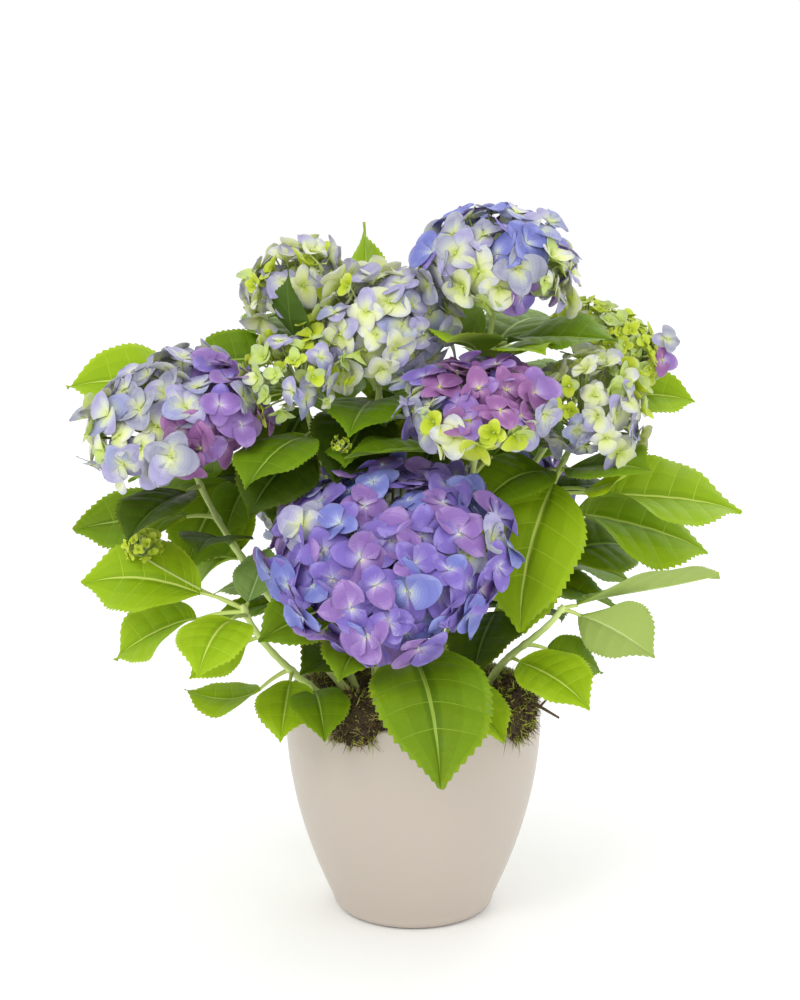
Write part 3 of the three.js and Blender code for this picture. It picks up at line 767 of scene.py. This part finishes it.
def bead(piece, centre, radius, name):
    """A small round bud, of six columns and three rings."""
    points = [centre + UP * radius]
    for polar in (0.75, 1.57, 2.4):
        for k in range(6):
            angle = k * math.pi / 3 + polar
            level = math.sin(polar)
            points.append(
                centre
                + radius * np.array([level * math.cos(angle), level * math.sin(angle), math.cos(polar)])
            )
    points.append(centre - UP * radius)
    faces = [(0, 1 + k, 1 + (k + 1) % 6) for k in range(6)]
    for ring in (0, 1):
        for k in range(6):
            a, b = 1 + 6 * ring + k, 1 + 6 * ring + (k + 1) % 6
            faces.append((a, a + 6, b + 6, b))
    faces += [(19, 13 + (k + 1) % 6, 13 + k) for k in range(6)]
    piece.add(points, faces, name)


# How many florets of each kind a head has to one another
DEALS = {
    "front": {"violet": 5, "blue": 5, "mauve": 2, "pale_blue": 1},
    # The left head's many greyish lilac florets are partly painted shade between its crumpled petals.
    "left": {"grey_lilac_and_shade": 6, "cream": 4, "pale_green": 3, "lilac": 2},
    "back_left": {"cream": 7, "lilac": 2, "lime": 3, "grey_lilac_and_shade": 1},
    "upper_left": {"cream": 9, "lime": 2, "pale_green": 1, "lilac": 1},
    "small": {"lime": 4, "lilac": 3, "pale_green": 4},
    "top": {"blue": 6, "pale_blue": 3, "violet": 2, "grey_lilac_and_shade": 2},
    "mid_purple": {"magenta": 8, "mauve": 3, "grey_lilac_and_shade": 1},
    "mid_cream": {"cream": 6, "lime": 3, "pale_green": 3},
    "far_right": {"lime": 9, "pale_green": 2},
    "rear_left": {"lilac": 4, "pale_blue": 4, "cream": 2},
    "rear_right": {"violet": 4, "blue": 4, "mauve": 2, "pale_blue": 1},
}
# Parts of a head with a deal of their own. x and z run from -1 to 1 across and up the head, and the first part
# that holds a floret deals it.
LOCAL_DEALS = [
    ("front", lambda x, z: x < 0 and z < 0.3, {"mauve": 3, "violet": 6, "blue": 3}),
    # The greyish lilac florets at the front head's sides are painted shade there.
    ("front", lambda x, z: abs(x) > 0.6, {"blue": 4, "violet": 3, "grey_lilac_and_shade": 2, "pale_blue": 2}),
    ("left", lambda x, z: x > 0.1 and z < 0.35, {"magenta": 8, "mauve": 2}),
    ("left", lambda x, z: x > 0.1, {"mauve": 4, "grey_lilac_and_shade": 3, "lilac": 3}),
    ("upper_left", lambda x, z: x > 0.6 and z < 0, {"magenta": 2, "lilac": 3, "grey_lilac_and_shade": 3}),
    ("upper_left", lambda x, z: x > 0, {"pale_blue": 6, "lilac": 4, "cream": 3}),
    # The greyish lilac florets in the top head's lower part stand partly for painted shade.
    ("top", lambda x, z: z < 0.3, {"pale_green": 4, "cream": 6, "grey_lilac_and_shade": 4, "violet": 1, "mauve": 1}),
    ("mid_purple", lambda x, z: x < -0.55, {"grey_lilac_and_shade": 3, "lilac": 3, "violet": 3}),
    ("mid_purple", lambda x, z: z < 0, {"lime": 4, "cream": 5, "magenta": 2, "grey_lilac_and_shade": 1}),
    ("mid_cream", lambda x, z: z < -0.15, {"lilac": 4, "grey_lilac_and_shade": 4, "cream": 3}),
]


def floret_kind(name, x, z, random):
    """Deals a floret its colours by the head it is on and its place on it."""
    local = [deal for head, holds, deal in LOCAL_DEALS if head == name and holds(x, z)]
    deal = local[0] if local else DEALS[name]
    weights = np.array(list(deal.values()), dtype=float)
    return list(deal)[random.choice(len(deal), p=weights / weights.sum())]


FLORET_RADIUS = {
    "front": 23,
    "left": 20,
    "back_left": 16,
    "upper_left": 19,
    "small": 14,
    "top": 19,
    "mid_purple": 19,
    "mid_cream": 16,
    "far_right": 8.5,
    "rear_left": 20,
    "rear_right": 20,
}
# Petals of one floret may take the colours of a kindred kind
KINDRED = {
    "violet": "mauve",
    "blue": "violet",
    "mauve": "violet",
    "magenta": "mauve",
    "pale_blue": "lilac",
    "lilac": "pale_blue",
    "grey_lilac_and_shade": "lilac",
    "cream": "lilac",
    "pale_green": "cream",
    "lime": "pale_green",
}
KINDRED_SHARE = 0.22
# How much more than usual the florets of a head tilt and close, which makes it look crumpled
CRUMPLED = {
    "left": 1.3,
    "back_left": 1.6,
    "upper_left": 1.5,
    "small": 1.3,
    "top": 1.2,
    "mid_purple": 1.25,
    "mid_cream": 1.5,
}

# Open florets that stand out of a head of smaller ones: centre, azimuth and pitch they face, radius and kind
LONE_FLORETS = {
    "far_right": [
        ((194, 50, 431), (-62, 4), 15, "magenta"),
        ((198, 56, 446), (-46, 26), 13, "grey_lilac_and_shade"),
    ],
}


def add_floret(florets, back, out, radius, kind, opening, random):
    """Four petals round a bead, each petal of the floret's kind or of a kindred one."""
    matrix = turn_from_up(out)
    spin = random.uniform(0, math.pi)
    for petal in range(4):
        lift = 0.5 if petal % 2 else -0.3
        turn = spin + petal * math.pi / 2 + random.uniform(-0.14, 0.14)
        share = random.uniform(0.86, 1.08)
        dealt = KINDRED[kind] if random.uniform() < KINDRED_SHARE else kind
        add_petal(florets, matrix, back, radius * share, turn, lift, dealt, random, opening)
    bead_name = "bead_blue" if kind in ("violet", "blue", "mauve") else "bead_green"
    bead(florets, back + out * 0.9, random.uniform(1.1, 1.6), bead_name)


def add_head(florets, stalks, shoot, random):
    head, name = shoot["head"], shoot["name"]
    axis = direction(head["faces"], 90 - head["tilt"])
    to_world = turn_from_up(axis)
    centre = np.array(head["centre"], dtype=float)
    wide, deep = head["size"][0] / 2, head["size"][1] / 2
    half = np.array([wide, wide, deep])
    joint = centre - axis * STEM_END * head["size"][1]
    lowest = math.cos(rad(FLORET_REACH))
    usual = FLORET_RADIUS[name]
    # Count, depth from the centre, size and turn of the outer layer of florets and of the inner one
    layers = [(head["florets"], 0.93, 1.0, 0.0), (head["florets"] // INNER_SHARE, 0.72, 0.86, 1.7)]
    for count, depth, size, offset in layers:
        for i in range(count):
            z = 1 + (lowest - 1) * (i + 0.5) / count
            level = math.sqrt(1 - z * z)
            angle = i * GOLDEN_ANGLE + offset
            place = np.array([level * math.cos(angle), level * math.sin(angle), z])
            inset = depth + random.uniform(-0.13, 0.05)
            local = place * half * inset
            spot = to_world @ local + centre
            x, _, up = (spot - centre) / np.array([wide, wide, max(wide * 0.6, deep)])
            kind = floret_kind(name, x, up, random)
            radius = usual * size * random.uniform(0.78, 1.12)
            opening = random.uniform(0.08, 0.5)
            if kind in ("lime", "pale_green"):
                radius *= random.uniform(0.9, 1.2) if name == "far_right" else random.uniform(0.6, 0.9)
                opening = random.uniform(0.4, 0.8)
            out = unit(place / half)
            crumpled = CRUMPLED.get(name, 1)
            opening *= crumpled
            tilt = crumpled * np.clip(random.normal(0, FLORET_TILT, 3), -MOST_TILT, MOST_TILT)
            out = unit(to_world @ out + tilt)
            back = spot - out * (0.22 * radius)
            add_floret(florets, back, out, radius, kind, opening, random)
            knee = (joint + back) / 2 + axis * 0.12 * deep
            tube(stalks, arc(joint, knee, back, 4), FLOWER_STALK, 4, "pedicel")
    for back, faces, radius, kind in LONE_FLORETS.get(name, []):
        back = np.array(back, dtype=float)
        add_floret(florets, back, direction(*faces), radius, kind, 0.25, random)
        path = joint + (back - joint) * np.linspace(0, 1, 4)[:, None]
        tube(stalks, path, FLOWER_STALK, 4, "pedicel")


# Young buds on a thin side stalk of a shoot: where it leaves the cane, and the cluster's centre and size
BUD_CLUSTERS = {
    "low_left": dict(place=0.97, centre=(-206, -36, 303), radius=13, buds=26),
    "upper_left": dict(place=0.72, centre=(-54, -58, 386), radius=7, buds=12),
}


def add_buds(buds, stalks, line, cluster, random):
    start, centre = line.point(cluster["place"]), np.array(cluster["centre"], dtype=float)
    knee = (start + centre) / 2 - UP * 8
    root = centre - UP * 0.6 * cluster["radius"]
    tube(stalks, arc(start, knee, root, 9), np.linspace(1.4, 0.9, 9), 6, "stalk")
    for i in range(cluster["buds"]):
        z = 1 - 1.5 * (i + 0.5) / cluster["buds"]
        level = math.sqrt(1 - z * z)
        out = np.array([level * math.cos(i * GOLDEN_ANGLE), level * math.sin(i * GOLDEN_ANGLE), z])
        spot = centre + out * cluster["radius"] * random.uniform(0.7, 1.0)
        tube(stalks, root + (spot - root) * np.linspace(0, 1, 3)[:, None], [0.7, 0.5, 0.4], 4, "pedicel")
        matrix = turn_from_up(unit(out + random.normal(0, 0.3, 3)))
        spin = random.uniform(0, math.pi)
        for petal in range(4):
            turn = spin + petal * math.pi / 2
            size = 0.36 * cluster["radius"] * random.uniform(0.8, 1.2)
            add_petal(buds, matrix, spot, size, turn, 0.2, "lime", random, random.uniform(0.6, 1.1))


# Pot, soil and moss


def pot_radius(height):
    below = np.maximum(0, POT_SHOULDER - height) / POT_SHOULDER
    return POT_RADIUS * (1 - POT_TAPER * below**POT_TAPER_POWER)


def lathe(piece, profile, sides, name, move=None):
    """Turns a profile of radii and heights about the pot's axis. move(x, y, z) gives the heights anew."""
    profile = np.array(profile, dtype=float)
    angles = np.arange(sides) * 2 * math.pi / sides
    x = profile[:, 0][:, None] * np.cos(angles)
    y = profile[:, 0][:, None] * np.sin(angles)
    z = profile[:, 1][:, None] + 0 * x
    if move is not None:
        z = move(x, y, z)
    piece.add(np.stack([x, y, z], axis=-1), grid_faces(len(profile), sides, closed=True), name)


def make_pot():
    piece = Piece()
    quarter = np.linspace(0, math.pi / 2, 9)
    rim = POT_HEIGHT - RIM_ROUND
    foot = float(pot_radius(POT_CORNER)) - POT_CORNER
    inner = POT_RADIUS - POT_WALL
    profile = [(AXIS, FOOT_HOLLOW), (foot - FOOT_BAND, FOOT_HOLLOW), (foot - FOOT_BAND + 2, 0)]
    profile += [(foot + POT_CORNER * math.sin(a), POT_CORNER * (1 - math.cos(a))) for a in quarter]
    profile += [(float(pot_radius(z)), z) for z in np.linspace(POT_CORNER + 3, rim, 48)]
    profile += [
        (POT_RADIUS - RIM_ROUND * (1 - math.cos(a)), rim + RIM_ROUND * math.sin(a)) for a in quarter[1:]
    ]
    profile += [
        (inner + RIM_ROUND * (1 - math.cos(a)), rim + RIM_ROUND * math.sin(a)) for a in quarter[::-1]
    ]
    profile += [(float(pot_radius(z)) - POT_WALL, z) for z in np.linspace(rim - 3, POT_FLOOR, 20)]
    profile.append((AXIS, POT_FLOOR))
    lathe(piece, profile, POT_SIDES, "glaze")
    return piece.make("glazed_pot", "pot", ["pot"])


def make_soil():
    piece = Piece()
    random = np.random.default_rng(5)
    profile = [(float(pot_radius(z)) - POT_WALL - 0.4, z) for z in (10, 60, 110, 150, 163)]
    profile += [(r, SOIL_TOP - 0.5) for r in np.linspace(92.8, 0.3, 40)]

    def rough(x, y, z):
        return z + np.where(z > 164, 1.6 * bumps(x, y) + 1.0 * bumps(3 * x, 3 * y), 0)

    lathe(piece, profile, SOIL_SIDES, "soil", rough)
    for _ in range(SOIL_CRUMBS):
        angle, r = random.uniform(0, 6.283), 88 * math.sqrt(random.uniform())
        spot = np.array([r * math.cos(angle), r * math.sin(angle), SOIL_TOP + random.uniform(0, 1.5)])
        bead(piece, spot, random.uniform(1.0, 3.2), "crumb")
    return piece.make("soil_filling", "soil", ["soil"])


def strand(piece, start, heading, length, width, name, random):
    """A thin curved blade of moss or straw."""
    bend = unit(random.normal(0, 1, 3) + UP * random.uniform(-0.9, 0.3))
    s = np.linspace(0, 1, 4)[:, None]
    path = start + heading * length * s + bend * length * 0.45 * s**2
    tube(piece, path, [width, 0.8 * width, 0.5 * width, 0.12 * width], 3, name)


def ball(rows, columns):
    """The points of a ball of radius 1."""
    polar = np.linspace(0.01, math.pi - 0.01, rows)[:, None]
    around = np.arange(columns) * 2 * math.pi / columns
    return np.stack(
        [np.sin(polar) * np.cos(around), np.sin(polar) * np.sin(around), np.cos(polar) + 0 * around], axis=-1
    )


STRANDS = ["strand_brown", "strand_straw", "moss_olive", "moss_green"]


def in_the_pot(spot):
    return spot[2] < POT_HEIGHT and math.hypot(spot[0], spot[1]) < POT_RADIUS + 1


def add_moss_clump(piece, clump, random):
    """A lump of peat that hangs over the rim, grown over with tangled moss."""
    turn = spin_matrix(rad(clump["azimuth"]))
    centre = direction(clump["azimuth"], 0) * (POT_RADIUS - POT_WALL)
    centre[2] = (clump["bottom"] + clump["top"]) / 2
    half = np.array([clump["depth"], clump["width"], clump["top"] - clump["bottom"]]) / 2
    local = ball(*CLUMP_GRID) * half
    swelling = 1 + 0.08 * bumps(local[..., 0], local[..., 1], local[..., 2])
    swelling = swelling + 0.05 * bumps(3 * local[..., 0], 3 * local[..., 1], 3 * local[..., 2])
    points = (local * swelling[..., None] * 0.94) @ turn.T + centre
    piece.add(points, grid_faces(*CLUMP_GRID, closed=True), "peat")
    green = clump["green"]
    mix = [0.7 * (1 - green), 0.3 * (1 - green), 0.5 * green, 0.5 * green]
    for _ in range(CLUMP_STRANDS):
        v = unit(random.normal(0, 1, 3))
        out = turn @ unit(v / half)
        spot = turn @ (v * half * 0.9) + centre
        if in_the_pot(spot):
            continue
        heading = unit(0.5 * out + random.normal(0, 1, 3))
        name = STRANDS[random.choice(4, p=mix)]
        strand(piece, spot, heading, random.uniform(3, 9), random.uniform(0.4, 0.9), name, random)
    for _ in range(CLUMP_CRUMBS):
        v = unit(random.normal(0, 1, 3))
        spot = turn @ (v * half * random.uniform(0.9, 0.98)) + centre
        if in_the_pot(spot):
            continue
        bead(piece, spot, random.uniform(0.8, 2.4), ["crumb", "peat"][random.choice(2)])
    for _ in range(HANGING_STRANDS):
        side = random.uniform(-0.8, 0.8) * clump["width"] / 2 / POT_RADIUS
        angle = rad(clump["azimuth"]) + side
        out = np.array([math.cos(angle), math.sin(angle), 0])
        spot = out * (POT_RADIUS + random.uniform(0, 4))
        spot[2] = random.uniform(clump["bottom"] + 4, POT_HEIGHT)
        heading = unit(0.5 * out - UP + 0.5 * random.normal(0, 1, 3))
        name = STRANDS[random.choice(4, p=[0.2, 0.3, 0.2, 0.3])]
        strand(piece, spot, heading, random.uniform(5, 13), random.uniform(0.3, 0.6), name, random)


def moss_crown(r):
    """The height of the ring of moss at a radius."""
    across = np.clip((r - MOSS_INNER) / (MOSS_OUTER - MOSS_INNER), 0, 1)
    return float(SOIL_TOP + (MOSS_CROWN - SOIL_TOP) * np.sin(np.pi * (0.08 + 0.84 * across)) ** 0.6)


def make_moss():
    piece = Piece()
    random = np.random.default_rng(8)
    profile = [(r, moss_crown(r)) for r in np.linspace(MOSS_OUTER, MOSS_INNER - 6, 14)]
    profile = [(MOSS_OUTER, SOIL_TOP - 2), *profile, (MOSS_INNER - 8, SOIL_TOP - 2)]

    def rough(x, y, z):
        return z + 2.0 * bumps(x, y) + 1.2 * bumps(2.5 * x, 2.5 * y)

    lathe(piece, profile, MOSS_SIDES, "peat", rough)
    for clump in MOSS_CLUMPS:
        add_moss_clump(piece, clump, random)
    for _ in range(RING_STRANDS):
        angle, r = random.uniform(0, 6.283), random.uniform(MOSS_INNER - 6, 93)
        spot = np.array([r * math.cos(angle), r * math.sin(angle), 0])
        spot[2] = moss_crown(r) + 1.5 * bumps(spot[0], spot[1])
        heading = unit(UP * random.uniform(0.1, 0.9) + random.normal(0, 0.8, 3) * np.array([1, 1, 0.3]))
        name = STRANDS[random.choice(4, p=[0.26, 0.2, 0.28, 0.26])]
        strand(piece, spot, heading, random.uniform(4, 10), random.uniform(0.3, 0.6), name, random)
    twig = np.array([[84, -58, 186], [92, -64, 187], [100, -70, 184], [110, -74, 179]], dtype=float)
    tube(piece, twig, [1.6, 1.4, 1.2, 0.9], 7, "dead_wood")
    fork = np.array([[96, -67, 186], [101, -63, 190], [104, -62, 193]], dtype=float)
    tube(piece, fork, [1.0, 0.8, 0.5], 6, "dead_wood")
    return piece.make("moss_and_peat", "moss", ["moss"])


def make_plant():
    for number, shoot in enumerate(SHOOTS):
        name = shoot["name"]
        random = np.random.default_rng(100 + number)
        line = Line(shoot)
        places = [row[0] for row in shoot["leaves"]]
        canes, blades, twigs = Piece(), Piece(), Piece()
        stem_tube(canes, line, -0.01, shoot["bare"], places, random)
        top = NECK_START if "head" in shoot else 1.0
        stem_tube(twigs, line, shoot["bare"] - 0.005, top + 0.005, places, random)
        for row in shoot["leaves"]:
            add_leaf(blades, twigs, line, row, random)
        if name in BUD_CLUSTERS:
            buds = Piece()
            add_buds(buds, twigs, line, BUD_CLUSTERS[name], random)
            buds.make(f"buds_{name}", "petal_lime")
        canes.make(f"cane_bark_{name}", "cane", [f"cane_{name}"])
        blades.make(f"leaves_{name}", "leaf", [f"leafy_shoot_{name}"])
        twigs.make(f"stalks_{name}", "cane")
        if "head" in shoot:
            florets, stalks = Piece(), Piece()
            stem_tube(stalks, line, NECK_START, 1.0, [], random)
            add_head(florets, stalks, shoot, random)
            slot = slot_of_head(name)
            florets.make(f"florets_{name}", slot, [f"flower_head_{name}"])
            stalks.make(f"flower_stalks_{name}", "cane")


def slot_of_head(name):
    rows = frame["record"]["subparts"]
    return next(row["material_slot"] for row in rows if row["node"] == f"flower_head_{name}")


make_pot()
make_soil()
make_moss()
make_plant()

# Floor, light and camera, in metres

FLOOR_HALF = 60.0
CAMERA_TARGET = Vector((-0.0105, 0, 0.3306))
CAMERA_DISTANCE = 1.9
CAMERA_ELEVATION = 14
LENS = 88.67
SENSOR = 36


def make_floor():
    mesh = bpy.data.meshes.new("floor")
    corners = [(-1, -1, 0), (1, -1, 0), (1, 1, 0), (-1, 1, 0)]
    mesh.from_pydata([tuple(FLOOR_HALF * c for c in corner) for corner in corners], [], [(0, 1, 2, 3)])
    floor = bpy.data.objects.new("floor", mesh)
    bpy.context.scene.collection.objects.link(floor)
    pale = bpy.data.materials.new("pale_floor")
    pale.use_nodes = True
    shader = pale.node_tree.nodes["Principled BSDF"]
    shader.inputs["Base Color"].default_value = (0.95, 0.95, 0.95, 1)
    shader.inputs["Roughness"].default_value = 0.7
    mesh.materials.append(pale)


def area_light(name, place, target, size, power):
    data = bpy.data.lights.new(name, "AREA")
    data.size, data.energy = size, power
    light = bpy.data.objects.new(name, data)
    light.location = place
    light.rotation_mode = "QUATERNION"
    light.rotation_quaternion = (Vector(target) - Vector(place)).to_track_quat("-Z", "Y")
    bpy.context.scene.collection.objects.link(light)


make_floor()
area_light("key", (-1.1, -1.7, 1.9), (0, 0, 0.3), 1.0, 19)
area_light("fill", (1.8, -1.2, 1.0), (0, 0, 0.3), 1.6, 7)
area_light("back", (0.6, 1.8, 1.6), (0, 0, 0.35), 1.4, 12)

world = bpy.data.worlds.new("studio")
world.use_nodes = True
world.node_tree.nodes["Background"].inputs["Color"].default_value = (1, 1, 1, 1)
world.node_tree.nodes["Background"].inputs["Strength"].default_value = 1.06
scene = bpy.context.scene
scene.world = world
scene.view_settings.view_transform = "Standard"

camera_data = bpy.data.cameras.new("camera")
camera_data.sensor_width = SENSOR
camera_data.lens = LENS
camera = bpy.data.objects.new("camera", camera_data)
away = Vector((0, -math.cos(rad(CAMERA_ELEVATION)), math.sin(rad(CAMERA_ELEVATION))))
camera.location = CAMERA_TARGET + away * CAMERA_DISTANCE
camera.rotation_mode = "QUATERNION"
camera.rotation_quaternion = (-away).to_track_quat("-Z", "Y")
scene.collection.objects.link(camera)
scene.camera = camera
